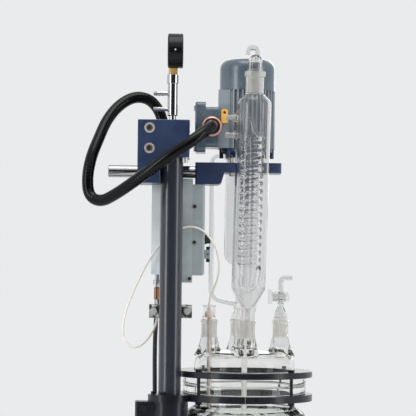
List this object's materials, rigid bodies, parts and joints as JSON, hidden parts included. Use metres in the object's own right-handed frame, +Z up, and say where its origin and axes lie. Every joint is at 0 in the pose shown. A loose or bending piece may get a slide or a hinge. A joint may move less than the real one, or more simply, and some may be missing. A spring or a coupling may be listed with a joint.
{
  "type": "jacketed glass reactor",
  "caption": "Bench-top jacketed glass reactor on a post stand, with an overhead stirrer motor, condenser, dropping funnel, control box, gauge manifold and bottom drain.",
  "frame": {"origin": "middle of the base's footprint, on the floor", "axes": "+Z up, +X towards the jacket ports, away from the post and its gauge; the front, with the condenser, faces -Y"},
  "size_m": [0.48, 0.4, 1.358],
  "materials": {
    "navy_paint": "glossy",
    "slate_paint": "semi-gloss",
    "graphite_paint": "glossy",
    "black_paint": "satin",
    "cast_aluminium": "satin",
    "dark_aluminium": "satin",
    "polished_steel": "polished",
    "chrome": "mirror",
    "brass": "polished",
    "copper": "satin",
    "yellow_lug": "matte",
    "clear_glass": "clear",
    "ptfe": "satin",
    "teal_plastic": "glossy",
    "white_plastic": "satin",
    "black_plastic": "satin",
    "rubber": "matte",
    "red_pointer": "matte",
    "tan_probe": "satin",
    "white_cable": "satin",
    "black_cord": "satin",
    "black_conduit": "glossy"
  },
  "bodies": {
    "stand": {"base_feet": "rubber", "base_plate": "navy_paint", "bracket_screws": "polished_steel", "cable_glands": "black_plastic", "clamp_ring": "black_paint", "condenser_body": "clear_glass", "condenser_coil": "clear_glass", "condenser_outlet": "clear_glass", "conduit": "black_conduit", "conduit_gland": "copper", "control_box": "cast_aluminium", "control_cover": "dark_aluminium", "cord_coil": "black_cord", "cover_screws": "polished_steel", "cross_rod": "polished_steel", "drain_valve": "ptfe", "dropping_funnel": "clear_glass", "earth_lug": "yellow_lug", "fan_cover": "slate_paint", "funnel_stopper": "white_plastic", "gas_adapter": "clear_glass", "gauge_case": "black_paint", "gauge_dial": "white_plastic", "gauge_lens": "clear_glass", "gauge_stem": "brass", "heat_sink": "cast_aluminium", "hose_manifold": "chrome", "lid_gasket": "ptfe", "motor_arm": "navy_paint", "motor_body": "slate_paint", "motor_end_bell": "navy_paint", "post": "graphite_paint", "post_block": "navy_paint", "post_cross_bar": "polished_steel", "post_socket": "navy_paint", "power_cord": "black_cord", "power_plug": "black_plastic", "reactor_lid": "clear_glass", "reactor_vessel": "clear_glass", "ring_bolts": "polished_steel", "seal_housing": "ptfe", "sensor_adapter": "clear_glass", "sensor_cable": "white_cable", "sensor_probe": "tan_probe", "support_clamp": "black_paint", "support_ring": "black_paint", "terminal_box": "slate_paint", "terminal_lid": "slate_paint", "vessel_jacket": "clear_glass"},
    "stirrer": {"motor_shaft": "polished_steel", "cooling_fan": "black_plastic", "shaft_coupling": "cast_aluminium", "stirrer_shaft": "ptfe", "stirrer_impeller": "ptfe"},
    "gauge_needle": {"gauge_pointer": "red_pointer"},
    "gas_stopcock": {"gas_plug": "teal_plastic"},
    "funnel_stopcock": {"funnel_plug": "teal_plastic"},
    "drain_stopcock": {"drain_plug": "teal_plastic"},
    "knob": {"speed_knob": "black_plastic"},
    "rocker": {"power_switch": "black_plastic"}
  },
  "joints": [
    {"name": "stirring", "type": "hinge", "parent": "stand", "child": "stirrer", "pos_m": [0.07, 0, 0.9], "axis": [0, 0, 1], "continuous": true},
    {"name": "needle_turn", "type": "hinge", "parent": "stand", "child": "gauge_needle", "pos_m": [-0.06, -0.06, 1.327], "axis": [-1, 0, 0], "range_deg": [0, 270]},
    {"name": "gas_valve_turn", "type": "hinge", "parent": "stand", "child": "gas_stopcock", "pos_m": [0.131, 0, 0.892], "axis": [1, 0, 0], "continuous": true},
    {"name": "funnel_valve_turn", "type": "hinge", "parent": "stand", "child": "funnel_stopcock", "pos_m": [0.059, 0.06982, 0.91589], "axis": [0, 0.9983, -0.0579], "continuous": true},
    {"name": "drain_valve_turn", "type": "hinge", "parent": "stand", "child": "drain_stopcock", "pos_m": [0.07, 0, 0.375], "axis": [0, 1, 0], "range_deg": [0, 90]},
    {"name": "speed_turn", "type": "hinge", "parent": "stand", "child": "knob", "pos_m": [-0.004, 0.01, 0.994], "axis": [1, 0, 0], "range_deg": [0, 270]},
    {"name": "switch_rock", "type": "hinge", "parent": "stand", "child": "rocker", "pos_m": [0.002, 0.01, 0.967], "axis": [0, 1, 0], "range_deg": [-6, 6]}
  ]
}
